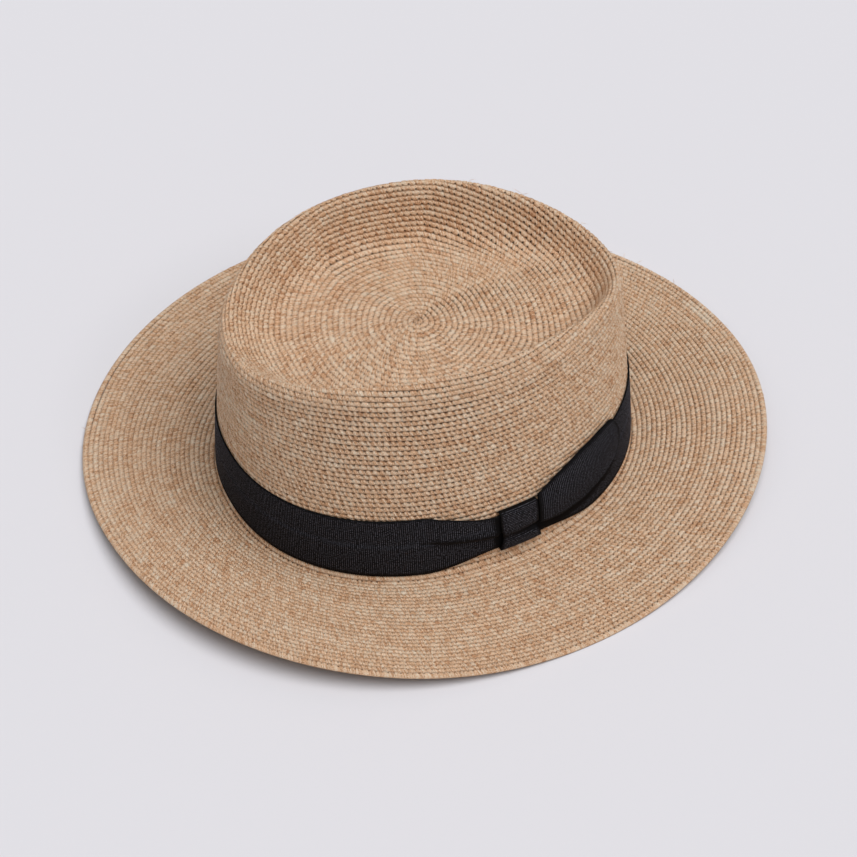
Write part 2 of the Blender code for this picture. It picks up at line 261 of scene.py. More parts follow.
# kinds of row. stitch: at each place along it, as shares of the row, how far its inner edge reaches over the
# row before, how high that edge stands, how high its back stands and how deep its edge lies in shadow.
# outer: reach, height and shadow of the outer edge, and the same for the shoulder. crown: where the back
# is. open: how far the holes open, and how much that changes from stitch to stitch
wallKind = dict(
    stitch=(
        (0.00, 0.38, 0.05, 0.80, 0.90), (0.24, 0.34, -0.25, 0.98, 1.00), (0.46, 0.76, 0.84, 1.07, 0.42),
        (0.78, 0.75, 0.82, 1.02, 0.42)),
    outer=(0.44, 0.12, 0.90), shoulder=(0.22, 0.86, 0.30), crown=-0.22, open=(1.0, 0.12))
hiddenKind = dict(
    stitch=((0.00, 0.38, 0.00, 0.90, 1.00), (0.50, 0.70, 0.88, 1.00, 0.30)),
    outer=(0.42, 0.18, 0.90), shoulder=(0.22, 0.88, 0.25), crown=-0.22, open=(1.0, 0.0))
dishKind = dict(
    stitch=((0.00, 0.33, -0.20, 0.84, 1.00), (0.25, 0.74, 0.82, 1.05, 0.30), (0.76, 0.75, 0.80, 1.05, 0.30)),
    outer=(0.44, 0.05, 1.00), shoulder=(0.20, 0.86, 0.25), crown=-0.23, open=(0.86, 0.30))
brimKind = dict(
    stitch=((0.00, 0.30, -0.20, 0.86, 1.00), (0.23, 0.74, 0.90, 1.05, 0.25), (0.77, 0.75, 0.90, 1.03, 0.25)),
    outer=(0.44, 0.00, 1.00), shoulder=(0.18, 0.92, 0.20), crown=-0.21, open=(0.90, 0.36))
rimKind = dict(brimKind, outer=(0.50, 0.10, 0.15), open=(1.0, 0.12))
footKind = dict(brimKind, open=(0.40, 0.30))  # the rows beside the ribbon are pulled tight
# the pale end of the straw, near the rim
join = dict(angle=math.radians(187.5), half=math.radians(3.8), rows=(24, 25), tone=0.24)
rng = np.random.default_rng(crochet["seed"])


def drift(count, knots, size):
    # smooth random values round a closed row
    values = rng.normal(0, size, max(knots, 3))
    at = np.arange(count) / count * len(values)
    i = at.astype(int)
    f = at - i
    f = f * f * (3 - 2 * f)
    return values[i % len(values)] * (1 - f) + values[(i + 1) % len(values)] * f


def strands(count, knots, size):
    # each strand of raffia has its own colour for a stretch of the row
    ends = np.sort(rng.random(max(knots, 2)))
    values = rng.normal(0, size, len(ends) + 1)
    return values[np.searchsorted(ends, np.arange(count) / count) % len(ends)]


def rowShare(rows, row, angle, inDish):
    # how far out a row lies; increases draw the rows of the dish a little towards a polygon
    share = (row + 0.5) / rows
    if not inDish:
        return np.full(len(angle), share)
    n = crochet["corners"]
    crest = ridgePlan(angle)
    plan = np.arctan2(crest[:, 0], -crest[:, 1])
    part = (plan + row * crochet["cornerTurn"]) % (2 * np.pi / n) - np.pi / n
    amount = crochet["cornerShare"] * np.sin(np.pi * np.clip(row / crochet["dishRows"], 0, 1))
    return share * (1 + amount * (np.cos(np.pi / n) / np.cos(part) - crochet["cornerMean"]))


def wander(row, angle):
    # neighbours drift together, so that no two of them part
    return crochet["wander"] * sum(
        size * np.sin(turns * angle + change * row + start) for turns, change, start, size in wanderWaves)


def ropeRow(grid, normals, rows, row, stitch, kind, inDish, stitches=None):
    dense = fullTurn(crochet["measureSteps"])
    share = rowShare(rows, row, dense, inDish) + wander(row, dense) / rows * (0 < row < rows - 1)
    points = sample(grid, share, dense)
    chords = np.linalg.norm(np.roll(points, -1, axis=0) - points, axis=1)
    lengths = np.concatenate([[0], np.cumsum(chords)])
    stitches = stitches or max(6, round(lengths[-1] / stitch))
    columns = len(kind["stitch"])
    count = stitches * columns
    number, place = np.arange(count) // columns, np.arange(count) % columns
    at = np.array(kind["stitch"])[:, 0]
    # each stitch has its own length, and each row starts a little further round
    steps = 1 + rng.normal(0, crochet["stitchChange"], stitches)
    starts = np.cumsum(steps) - steps + row * crochet["skew"]
    turned = ((starts[number] + steps[number] * at[place]) / steps.sum()) % 1
    places = turned * lengths[-1]
    angle = np.interp(places, lengths, np.append(dense, 2 * np.pi))
    share = np.interp(places, lengths, np.append(share, share[0]))
    outer = rowShare(rows, row + 0.5, angle, inDish)
    inner = rowShare(rows, row - 0.5, angle, inDish)
    pitch = sample(grid, outer, angle) - sample(grid, inner, angle)
    across = unit(pitch)
    # the last entry of a stitch is the closed straw, and the others open from it
    form = np.array(kind["stitch"])[:, 1:]
    opening = np.clip(rng.normal(*kind["open"], stitches), 0, crochet["mostOpen"])[number]
    reach, edge, _, shadow = (form[-1] + (form[place] - form[-1]) * opening[:, None]).T
    tall = form[place, 2] + rng.normal(0, crochet["uneven"], stitches)[number]
    one = np.ones(count)
    # round the rope: outer edge, shoulder, back, inner edge, then the underside
    sideAt, sideHigh, sideShadow = kind["outer"]
    shoulderAt, shoulderHigh, shoulderShadow = kind["shoulder"]
    under, low = underside["reach"] * one, underside["height"] * one
    x = np.stack([
        sideAt * one, shoulderAt * one, kind["crown"] * one, -reach, -under, 0 * one, under], axis=1)
    z = np.stack([sideHigh * tall, shoulderHigh * tall, tall, edge * tall, low, -tall, low], axis=1)
    # painted shade: how dark each point round the rope is painted, darkest in the holes and on the underside
    paintedShade = np.stack([
        sideShadow * one, shoulderShadow * one, 0 * one, shadow, one, underside["shadow"] * one, one], axis=1)
    # the section follows the surface, and runs straight on past its edges
    here = share[:, None] + x * (outer - inner)[:, None]
    past = (here - np.clip(here, 0, 1)) * rows * (row > 0 or not inDish)
    turns = np.repeat(angle[:, None], ropeSides, axis=1)
    normal = unit(sample(normals, here, turns))
    half = crochet["thickness"] / 2
    spot = sample(grid, here, turns) + pitch[:, None] * past[..., None]
    spot = spot + normal * ((z - 1) * half)[..., None]
    along = unit(np.cross(normal, across[:, None]))
    spot = spot + along * (x * 2 * crochet["slant"] * stitch)[..., None]
    spot[..., 2] = np.maximum(spot[..., 2], 0)  # the rim lies on the surface
    slowKnots = int(lengths[-1] / strawTone["slowLength"])
    strandKnots = int(lengths[-1] / strawTone["strandLength"])
    tone = 0.5 + rng.normal(0, strawTone["row"]) + drift(count, slowKnots, strawTone["slow"])
    tone = tone + strands(count, strandKnots, strawTone["strand"])
    tone = tone + rng.normal(0, strawTone["stitch"], stitches)[number]
    odd, few = rng.random(stitches), strawTone["oddStitches"] / 2
    tone = tone + (strawTone["pale"] * (odd < few) - strawTone["dark"] * (odd > 1 - few))[number]
    if not inDish and row in join["rows"]:
        tone = tone + join["tone"] * (abs(angle - join["angle"]) < join["half"])
    # the pattern along the row starts elsewhere on each row
    stitchPlace = np.append(number + at[place], stitches) + row * crochet["patternShift"]
    return dict(
        count=count, points=spot, joined=True, along=stitchPlace,
        across=np.tile(np.arange(ropeSides) / ropeSides, (count, 1)), turn=1.0,
        tone=np.repeat(tone[:, None], ropeSides, axis=1), paintedShade=paintedShade)


def finishPiece(name, mesh, material, cadNode):
    mesh.materials.clear()
    mesh.materials.append(material)
    mesh.shade_smooth()
    piece = bpy.data.objects.new(name, mesh)
    bpy.context.scene.collection.objects.link(piece)
    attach(piece, "root")
    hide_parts(cadNode)
    return piece


def shells(name, rows, material, cadNode):
    # each row is a tube of its own: a grid rolled up and, where its ends meet, closed round the hat
    bm = bmesh.new()
    for row in rows:
        columns = row["count"] - (not row["joined"])
        bmesh.ops.create_grid(bm, x_segments=columns, y_segments=row["points"].shape[1], size=0.5)
    mesh = bpy.data.meshes.new(name)
    bm.to_mesh(mesh)
    bm.free()
    total = len(mesh.vertices)
    flat = np.empty(total * 3)
    mesh.vertices.foreach_get("co", flat)
    flat = flat.reshape(-1, 3)
    points, uv = np.empty((total, 3)), np.empty((total, 2))
    tone, paintedShade = np.empty(total), np.empty(total)
    start = 0
    # a vertex's place in its flat grid says which point of the row it is
    for row in rows:
        columns, sides = row["count"] - (not row["joined"]), row["points"].shape[1]
        end = start + (columns + 1) * (sides + 1)
        i = np.rint((flat[start:end, 0] + 0.5) * columns).astype(int)
        j = np.rint((flat[start:end, 1] + 0.5) * sides).astype(int)
        places = i % row["count"], j % sides
        points[start:end] = row["points"][places]
        tone[start:end] = row["tone"][places]
        paintedShade[start:end] = row["paintedShade"][places]
        uv[start:end, 0] = row["along"][i]
        uv[start:end, 1] = row["across"][places] + (j // sides) * row["turn"]
        start = end
    mesh.vertices.foreach_set("co", points.ravel())
    for title, values in (("tone", tone), ("paintedShade", paintedShade)):
        mesh.attributes.new(title, "FLOAT", "POINT").data.foreach_set("value", values)
    corners = np.empty(len(mesh.loops), dtype=int)
    mesh.loops.foreach_get("vertex_index", corners)
    mesh.uv_layers.new(name="along").data.foreach_set("uv", uv[corners].ravel())
    bm = bmesh.new()
    bm.from_mesh(mesh)
    bmesh.ops.remove_doubles(bm, verts=bm.verts, dist=1e-6)
    bmesh.ops.recalc_face_normals(bm, faces=bm.faces)
    bm.to_mesh(mesh)
    bm.free()
    print(name, "triangles", len(mesh.loops) - 2 * len(mesh.polygons))
    return finishPiece(name, mesh, material, cadNode)


def addNode(tree, kind, **inputs):
    made = tree.nodes.new(kind)
    for key, value in inputs.items():
        made.inputs[key.replace("_", " ")].default_value = value
    return made


def ramp(tree, source, stops):
    made = tree.nodes.new("ShaderNodeValToRGB")
    points = made.color_ramp.elements
    while len(points) < len(stops):
        points.new(0.5)
    for point, (place, colour) in zip(points, stops):
        point.position, point.color = place, (*colour, 1)
    tree.links.new(source, made.inputs["Fac"])
    return made.outputs["Color"]


def maths(tree, operation, a, b):
    made = tree.nodes.new("ShaderNodeMath")
    made.operation = operation
    for socket, value in zip(made.inputs, (a, b)):
        if hasattr(value, "links"):
            tree.links.new(value, socket)
        else:
            socket.default_value = value
    return made.outputs[0]


def mixed(tree, factor, source, colour):
    # from one socket's colour to a plain colour
    made = tree.nodes.new("ShaderNodeMix")
    made.data_type = "RGBA"
    tree.links.new(factor, made.inputs[0])
    tree.links.new(source, made.inputs[6])
    made.inputs[7].default_value = (*colour, 1)
    return made.outputs[2]


raffia = dict(
    stops=(
        (0.15, (0.54, 0.255, 0.119)), (0.38, (0.83, 0.515, 0.292)), (0.55, (0.93, 0.64, 0.410)),
        (0.85, (0.97, 0.82, 0.62))),
    paintedShadeColour=(0.13, 0.065, 0.035), paintedShadeMix=0.95, paintedShadePower=1.6, strandsPerStitch=5.0, strandSlant=1.4,
    strandTone=0.42, strandGapShade=0.42, strandDepth=0.00030, strandWaver=1.5, gapShadePower=2.0, bump=0.8,
    fleckScale=2100.0, fleckTone=1.50, roughness=0.62, specular=0.3,
)


def raffiaMaterial():
    made = bpy.data.materials.new("raffia")
    made.use_nodes = True
    tree = made.node_tree
    shader = tree.nodes["Principled BSDF"]
    shader.inputs["Roughness"].default_value = raffia["roughness"]
    shader.inputs["Specular IOR Level"].default_value = raffia["specular"]
    tone, paintedShade = tree.nodes.new("ShaderNodeAttribute"), tree.nodes.new("ShaderNodeAttribute")
    tone.attribute_name, paintedShade.attribute_name = "tone", "paintedShade"
    place = tree.nodes.new("ShaderNodeTexCoord")
    split = tree.nodes.new("ShaderNodeSeparateXYZ")
    tree.links.new(place.outputs["UV"], split.inputs["Vector"])
    fleck = addNode(tree, "ShaderNodeTexNoise", Scale=raffia["fleckScale"], Detail=2.0)
    tree.links.new(place.outputs["Object"], fleck.inputs["Vector"])
    flecks = maths(tree, "SUBTRACT", fleck.outputs["Fac"], 0.5)
    # the strands cross the row at a slant, each with its own colour
    alongRow = maths(tree, "MULTIPLY", split.outputs["X"], raffia["strandsPerStitch"])
    acrossRow = maths(tree, "MULTIPLY", split.outputs["Y"], raffia["strandSlant"])
    strand = maths(tree, "ADD", alongRow, acrossRow)
    strand = maths(tree, "ADD", strand, maths(tree, "MULTIPLY", flecks, raffia["strandWaver"]))
    cell = tree.nodes.new("ShaderNodeTexWhiteNoise")
    cell.noise_dimensions = "1D"
    tree.links.new(maths(tree, "FLOOR", strand, 0.0), cell.inputs["W"])
    back = maths(tree, "SINE", maths(tree, "MULTIPLY", maths(tree, "FRACT", strand, 0.0), math.pi), 0.0)
    ownTone = maths(tree, "SUBTRACT", cell.outputs["Value"], 0.5)
    varied = maths(tree, "ADD", tone.outputs["Fac"], maths(tree, "MULTIPLY", flecks, raffia["fleckTone"]))
    varied = maths(tree, "ADD", varied, maths(tree, "MULTIPLY", ownTone, raffia["strandTone"]))
    colour = ramp(tree, varied, raffia["stops"])
    # painted shade: dark between strands, and darker in the holes and valleys of the stitches
    between = maths(tree, "POWER", maths(tree, "SUBTRACT", 1.0, back), raffia["gapShadePower"])
    between = maths(tree, "MULTIPLY", between, raffia["strandGapShade"])
    shade = maths(tree, "POWER", paintedShade.outputs["Fac"], raffia["paintedShadePower"])
    shade = maths(tree, "MULTIPLY", shade, raffia["paintedShadeMix"])
    shade = maths(tree, "MAXIMUM", shade, between)
    tree.links.new(mixed(tree, shade, colour, raffia["paintedShadeColour"]), shader.inputs["Base Color"])
    bump = addNode(tree, "ShaderNodeBump", Strength=raffia["bump"], Distance=raffia["strandDepth"])
    tree.links.new(back, bump.inputs["Height"])
    tree.links.new(bump.outputs["Normal"], shader.inputs["Normal"])
    return made


raffiaLook = raffiaMaterial()


def crownRow(row):
    kind, stitches = dishKind, None
    if row >= crochet["wallFrom"]:
        kind, stitches = wallKind, crochet["wallStitches"]
    if row >= crochet["hiddenFrom"]:
        kind = hiddenKind
    if row >= crochet["rootFrom"]:
        kind = brimKind
    return ropeRow(
        crownGrid, crownNormals, crochet["crownRows"], row, crochet["crownStitch"], kind, True, stitches)


def brimRow(row):
    kind = footKind if row < crochet["tightRows"] else brimKind
    if row == crochet["brimRows"] - 1:
        kind = rimKind
    return ropeRow(brimGrid, brimNormals, crochet["brimRows"], row, crochet["brimStitch"], kind, False)


rowsMade = dict(
    crown=[crownRow(row) for row in range(crochet["crownRows"])],
    brim=[brimRow(row) for row in range(crochet["brimRows"])])
# the pieces of crochet: where, and from which row up to which
crochetPieces = (
    ("crochet_top", "crown", 0, crochet["wallFrom"]),
    ("crochet_wall_upper", "crown", crochet["wallFrom"], 52),
    ("crochet_wall_lower", "crown", 52, crochet["crownRows"]),
    ("crochet_brim_inner", "brim", 0, 11),
    ("crochet_brim_middle", "brim", 11, 20),
    ("crochet_brim_outer", "brim", 20, crochet["brimRows"]),
)
for name, where, first, last in crochetPieces:
    shells(name, rowsMade[where][first:last], raffiaLook, "raffia_body")
print("crochet made")

# loose ends of straw: how many, on which grid between which shares, length, and how far they stand off
fibreKinds = (
    (70, "brim", 0.97, 1.00, 0.0030, 0.35), (50, "brim", 0.10, 0.95, 0.0035, 0.30),
    (60, "crown", 0.42, 0.60, 0.0045, 0.40), (50, "crown", 0.05, 0.80, 0.0035, 0.30),
)
fibre = dict(
    radius=0.00008, columns=7, rise=0.0002, overFloor=0.0004, lengths=(0.4, 1.5), stands=(0.3, 1.6),
    bendAside=0.9, bendUp=0.25, startTaper=8, endTaper=3, tone=0.12, patternStep=0.1,
)


def fibreTube(grid, normals, low, high, length, standing):
    share, angle = rng.uniform(low, high, 1), rng.uniform(0, 2 * np.pi, 1)
    start, normal = sample(grid, share, angle)[0], unit(sample(normals, share, angle))[0]
    away = unit(rng.normal(0, 1, 3))
    first = unit(away - normal * (away @ normal) + normal * standing * rng.uniform(*fibre["stands"]))
    bend = unit(np.cross(first, normal)) * rng.normal(0, fibre["bendAside"])
    bend = bend + normal * rng.normal(0, fibre["bendUp"])
    size = length * rng.uniform(*fibre["lengths"])
    t = np.linspace(0, 1, fibre["columns"])[:, None]
    line = start + normal * fibre["rise"] + size * (first * t + bend * t * t / 2)
    line[:, 2] = np.maximum(line[:, 2], fibre["overFloor"])
    # three-sided, thick in the middle and pointed at both ends
    path = unit(np.gradient(line, axis=0))
    one = unit(np.cross(path, normal))
    two = np.cross(path, one)
    thin = fibre["radius"] * np.clip(np.minimum(t * fibre["startTaper"], (1 - t) * fibre["endTaper"]), 0, 1)
    one, two = one * thin, two * thin
    points = np.stack([line + one, line + two - one / 2, line - two - one / 2], axis=1)
    tone = np.full((fibre["columns"], 3), 0.5 + rng.normal(0, fibre["tone"]))
    return dict(
        count=fibre["columns"], points=points, joined=False,
        along=fibre["patternStep"] * np.arange(fibre["columns"]),
        across=np.zeros((fibre["columns"], 3)), turn=0.0, tone=tone, paintedShade=0 * tone)


fibres = []
for count, where, low, high, length, standing in fibreKinds:
    place = (crownGrid, crownNormals) if where == "crown" else (brimGrid, brimNormals)
    fibres += [fibreTube(*place, low, high, length, standing) for i in range(count)]
shells("stray_fibres", fibres, raffiaLook, "raffia_body")
print("stray fibres made")

# the ribbon and its bow; lengths in metres, and the rest shares of the ribbon's width or plain numbers
ribbon = dict(
    width=0.0365, space=0.0010, gap=0.0003, cloth=0.0005, rib=0.0010, ribHeight=0.00016, dot=0.00065,
    pleatLength=0.0400, tuckLength=0.0400, pleatSpace=0.0007, pinchLow=0.17, pinchHigh=0.75,
    creaseAway=0.55, creaseAtKnot=0.43, lowerRows=9, hiddenRows=4, upperRows=11,
    layerSpace=0.00008, partFrom=5, roll=0.0030, rollFrom=9, bulge=0.0014, bulgeWide=0.0045, bulgeClear=0.002,
    selvage=0.0012, selvageShadow=0.8, shade=0.0026, shadeDrop=0.0036, shadeUnderWing=1.4, shadeEnd=1.01,
    shadeAtKnot=1.6,
)
knot = dict(
    angle=math.radians(95.9), length=0.0203, height=0.0230, middle=0.474, thickness=0.0017,
    edge=0.55, sideEdge=0.6, turnIn=0.0028, turnShade=0.00125, foldAt=0.33, foldWide=0.085, foldDeep=0.0022,
    foldStart=0.35, foldShadow=1.5, pinch=0.10, flare=0.0016, flareFrom=0.3, rows=13,
)
wing = dict(
    length=0.0588, thickness=0.0020, edge=0.55, tipRound=0.07, tipSteps=(45, 90, 135), roll=0.0030, rows=17,
)
# the wing from knot to end: along, low and high edge as shares of the ribbon's width, thickness
wingShape = (
    (0.00, 0.38, 0.87, 0.75), (0.10, 0.35, 0.95, 1.00), (0.22, 0.33, 1.03, 1.20), (0.47, 0.33, 1.13, 1.35),
    (0.75, 0.40, 1.17, 1.35), (0.90, 0.47, 1.14, 1.25), (1.00, 0.56, 1.08, 1.05),
)
ribbonLift = shape["rootRadius"] + ribbon["gap"]


def ease(share):
    share = np.clip(share, 0, 1)
    return share * share * (3 - 2 * share)


def off(angle, height, distance):
    # a point at a distance off the crown's wall
    return wall(angle, height) + wallOut(angle, height) * distance[..., None] + toFrame


# lengths round the crown at half the ribbon's height, counted from the middle of the knot, a turn each way
turn = np.linspace(-2 * np.pi, 2 * np.pi, 8 * fineness["columns"] + 1) + knot["angle"]
walk = wall(turn, np.full(len(turn), ribbonLift + ribbon["width"] / 2))
walked = np.concatenate([[0], np.cumsum(np.linalg.norm(np.diff(walk, axis=0), axis=1))])
walked -= walked[len(turn) // 2]
girth = walked[-1]


def angleAt(length):
    # the angle round the crown at a length along the ribbon
    return np.interp(length, walked, turn)


def gather(length):
    # 1 where the band is pinched under the knot, 0 where it lies flat
    before, after = -knot["length"] / 2, knot["length"] / 2
    pinch = ease(1 - (before - length) / ribbon["pleatLength"]) * (length < before)
    pinch = pinch + ease(1 - (length - after) / ribbon["tuckLength"]) * (length > after)
    return pinch + (length >= before) * (length <= after)


def sideways(first, second, axis):
    # the unit normal of a path in the plane of its two coordinates
    a, b = np.gradient(first, axis=axis), np.gradient(second, axis=axis)
    long = np.maximum(np.hypot(a, b), 1e-12)
    return -b / long, a / long


def ribbonPiece(name, place, first, distance, other, axis, across, shadow, joined, cadNode):
    # a cloth of its own thickness along a folded path, with ribs across it
    count, rows = first.shape
    firstSide, offSide = sideways(first, distance, axis)
    ribs = np.where(np.arange(count) % 2, 1.0, -1.0)[:, None] * ribbon["ribHeight"]
    thick = np.full((count, 1), ribbon["cloth"] / 2)
    if not joined:
        thick[[0, -1]] = 0
    layers = []
    for side in (1, -1):
        push = side * thick + ribs * (thick > 0) * (side > 0)
        layers.append(place(first + firstSide * push, distance + offSide * push, other))
    points = np.concatenate([layers[0], layers[1][:, ::-1]], axis=1)
    acrossBoth = np.concatenate([across, across[:, ::-1]], axis=1)
    crest = np.where(np.arange(count) % 2, 1.0, 0.0)[:, None] * np.ones((1, 2 * rows))
    shadowBoth = np.concatenate([shadow, shadow[:, ::-1]], axis=1)
    made = dict(
        count=count, points=points, joined=joined, along=0.5 * np.arange(count + 1),
        across=acrossBoth / ribbon["dot"], turn=0.0, tone=crest, paintedShade=shadowBoth)
    return shells(name, [made], grosgrainLook, cadNode)


def bandPlace(height, distance, angle):
    return off(angle, height, distance)


def bandPath():
    # across the band: the lower layer, a hidden fold back, and the upper layer that covers it
    count = 2 * round(girth / ribbon["rib"])
    length = (np.arange(count) / count - 0.5) * girth
    pinch = gather(length)[:, None]
    width = ribbon["width"]
    low = ribbonLift + width * ribbon["pinchLow"] * pinch
    high = ribbonLift + width * (1 + (ribbon["pinchHigh"] - 1) * pinch)
    creaseShare = ribbon["creaseAway"] + (ribbon["creaseAtKnot"] - ribbon["creaseAway"]) * pinch
    crease = ribbonLift + width * creaseShare
    hidden = (width - (high - low)) / 2
    lower = np.linspace(0, 1, ribbon["lowerRows"])[None]
    back = np.linspace(0, 1, ribbon["hiddenRows"] + 1)[None, 1:]
    upper = np.linspace(0, 1, ribbon["upperRows"] + 1)[None, 1:]
    height = np.concatenate([
        low + (crease + hidden - low) * lower, crease + hidden - hidden * back,
        crease + (high - crease) * upper], axis=1)
    layer = np.concatenate([0 * lower, back * 0 + 1, upper * 0 + 2], axis=1)
    layer[:, ribbon["lowerRows"] - 1] = 0.5
    layer[:, ribbon["lowerRows"] + ribbon["hiddenRows"] - 1] = 1.5
    layerStep = ribbon["cloth"] + ribbon["layerSpace"]
    distance = ribbon["gap"] + ribbon["cloth"] / 2 + layer * layerStep * ease(pinch * ribbon["partFrom"])
    # the upper layer bulges over the crease, but not under the knot
    beside = abs(length) - knot["length"] / 2
    clear = np.clip(beside / ribbon["bulgeClear"], 0, 1)[:, None]
    bulge = np.exp(-(((height - crease) / ribbon["bulgeWide"]) ** 2)) * pinch * clear
    distance = distance + ribbon["bulge"] * bulge * (layer > 1) * (length < 0)[:, None]
    across = np.concatenate([
        (crease + hidden - low) * lower, crease + hidden - low + hidden * back,
        crease + 2 * hidden - low + (high - crease) * upper], axis=1)
    # painted shade where the upper layer rolls under at the crease, along both bound edges of the ribbon and
    # on the hidden fold
    aboveCrease = np.clip(1 - (height - crease) / ribbon["roll"], 0, 1) * (layer > 1)
    aboveCrease = aboveCrease * ease(pinch * ribbon["rollFrom"])
    edges = np.clip(1 - np.minimum(height - low, high - height) / ribbon["selvage"], 0, 1)
    shadow = np.maximum(aboveCrease, np.maximum(edges * ribbon["selvageShadow"], (layer == 1) * 1.0))
    # painted shadow under the wing and beside the knot
    past = (length - knot["length"] / 2) / wing["length"]
    wingLow = ribbonLift + width * np.interp(past, *np.array(wingShape).T[[0, 1]])[:, None]
    overLow = (height - wingLow + ribbon["shadeDrop"]) / ribbon["shade"]
    byWing = ((past > 0) * (past < ribbon["shadeEnd"]))[:, None]
    underWing = np.clip(overLow + ribbon["shadeUnderWing"], 0, 1) * byWing
    besideKnot = np.clip(ribbon["shadeAtKnot"] - beside / ribbon["shade"], 0, 1)[:, None]
    shadow = np.maximum(np.maximum(shadow, underWing), besideKnot)
    angle = np.repeat(angleAt(length)[:, None], height.shape[1], axis=1)
    return height, distance, angle, across, shadow


def wingPlace(length, distance, share):
    along = length / wing["length"]
    low, high = (
        ribbonLift + ribbon["width"] * np.interp(along, *np.array(wingShape).T[[0, edge]]) for edge in (1, 2))
    fromKnot = length + knot["length"] / 2 + ribbon["gap"]
    return off(angleAt(fromKnot), low + (high - low) * share, distance)


def wingPath():
    # out along the upper layer, round the tip and back along the lower one
    out = round(wing["length"] / ribbon["rib"]) * 2
    share = np.linspace(0, 1, wing["rows"])[None]
    reach = wing["length"] * (1 - wing["tipRound"] * abs(2 * share - 1) ** 3)
    swell = wing["edge"] + (1 - wing["edge"]) * np.sin(np.pi * share)
    under = 2 * ribbon["gap"] + ribbon["space"] + ribbon["cloth"] / 2

    def layerAt(along):
        pinched = gather(along * wing["length"] + knot["length"] / 2 + ribbon["gap"])
        thick = wing["thickness"] * np.interp(along, *np.array(wingShape).T[[0, 3]]) * swell
        low = under + ribbon["pleatSpace"] * pinched + 0 * share
        return low, low + thick - ribbon["cloth"]

    tipLow, tipHigh = layerAt(np.ones((1, 1)))
    radius = (tipHigh - tipLow) / 2
    along = np.linspace(0, 1, out)[:, None]
    flat = reach - radius
    length = [along * flat]
    distance = [layerAt(along)[1]]
    for angle in np.radians(wing["tipSteps"]):
        length.append(flat + radius * np.sin(angle))
        distance.append((tipLow + tipHigh) / 2 + radius * np.cos(angle))
    length.append(along[::-1] * flat)
    distance.append(layerAt(along[::-1])[0])
    length, distance = np.concatenate(length), np.concatenate(distance)
    share = np.repeat(share, len(length), axis=0)
    # painted shade near the wing's end, where it meets the knot, and along its edges
    nearEnd = np.clip(1 - (flat + radius - length) / wing["roll"], 0, 1)
    atKnot = np.clip(1 - length / wing["roll"], 0, 1)
    edges = np.clip(1 - np.minimum(share, 1 - share) * ribbon["width"] / ribbon["selvage"], 0, 1)
    shadow = np.maximum(np.maximum(nearEnd, atKnot), edges * ribbon["selvageShadow"])
    return length, distance, share, share * ribbon["width"], shadow


def knotPlace(height, distance, share):
    middle = ribbonLift + ribbon["width"] * knot["middle"]
    up = (height - middle) / knot["height"] + 0.5
    pinch = np.exp(-(((up - knot["foldAt"]) / (knot["foldWide"] * 2)) ** 2))
    flare = np.clip(knot["flareFrom"] - up, 0, knot["flareFrom"]) / knot["flareFrom"]
    wide = 1 - knot["pinch"] * pinch + knot["flare"] / knot["length"] * flare
    return off(angleAt((share - 0.5) * knot["length"] * wide), height, distance)


def knotPath():
    # from the edge tucked in at the top, down the front, to the edge tucked in below
    total = knot["height"] + 2 * knot["turnIn"]
    count = 2 * round(total / ribbon["rib"])
    walk = (np.arange(count) / (count - 1) * total)[:, None]
    share = np.linspace(0, 1, knot["rows"])[None]
    middle = ribbonLift + ribbon["width"] * knot["middle"]
    over = 2 * ribbon["gap"] + ribbon["space"] + ribbon["pleatSpace"]
    over = over + knot["thickness"] - ribbon["cloth"]
    up = np.clip((walk - knot["turnIn"]) / knot["height"], 0, 1)
    inward = np.maximum(knot["turnIn"] - walk, 0) + np.maximum(walk - knot["turnIn"] - knot["height"], 0)
    height = middle + knot["height"] * (0.5 - up) + 0 * share
    swellAcross = knot["sideEdge"] + (1 - knot["sideEdge"]) * np.sin(np.pi * share)
    swell = knot["edge"] + (1 - knot["edge"]) * np.sin(np.pi * up) ** 0.5 * swellAcross
    foldAcross = knot["foldStart"] + (1 - knot["foldStart"]) * share ** 2
    fold = np.exp(-(((1 - up - knot["foldAt"]) / knot["foldWide"]) ** 2)) * foldAcross
    distance = over - (1 - swell) * knot["thickness"] - inward - knot["foldDeep"] * fold
    # painted shade in the fold, along the knot's sides and where its edges turn in
    sides = np.clip(1 - np.minimum(share, 1 - share) * knot["length"] / ribbon["selvage"], 0, 1)
    turned = np.minimum(inward / knot["turnShade"], 1)
    shadow = np.maximum(
        np.minimum(fold * knot["foldShadow"], 1), np.maximum(sides * ribbon["selvageShadow"], turned))
    share = np.repeat(share, count, axis=0)
    return height, distance, share, share * knot["length"], shadow


# the cloth is near black, with a painted highlight where the thread catches light on each rib
grosgrain = dict(
    stops=((0.0, (0.0012, 0.0010, 0.0012)), (0.07, (0.006, 0.005, 0.006)), (0.25, (0.165, 0.165, 0.195))),
    highlightPower=1.5, patchScale=0.9, patchPower=2.0, roughness=0.75, specular=0.12,
)


def threadWave(tree, source, shift):
    # 1 in the middle of each thread, 0 between two
    turns = maths(tree, "MULTIPLY", maths(tree, "SUBTRACT", source, shift), 2 * math.pi)
    return maths(tree, "ADD", 0.5, maths(tree, "MULTIPLY", 0.5, maths(tree, "COSINE", turns, 0)))


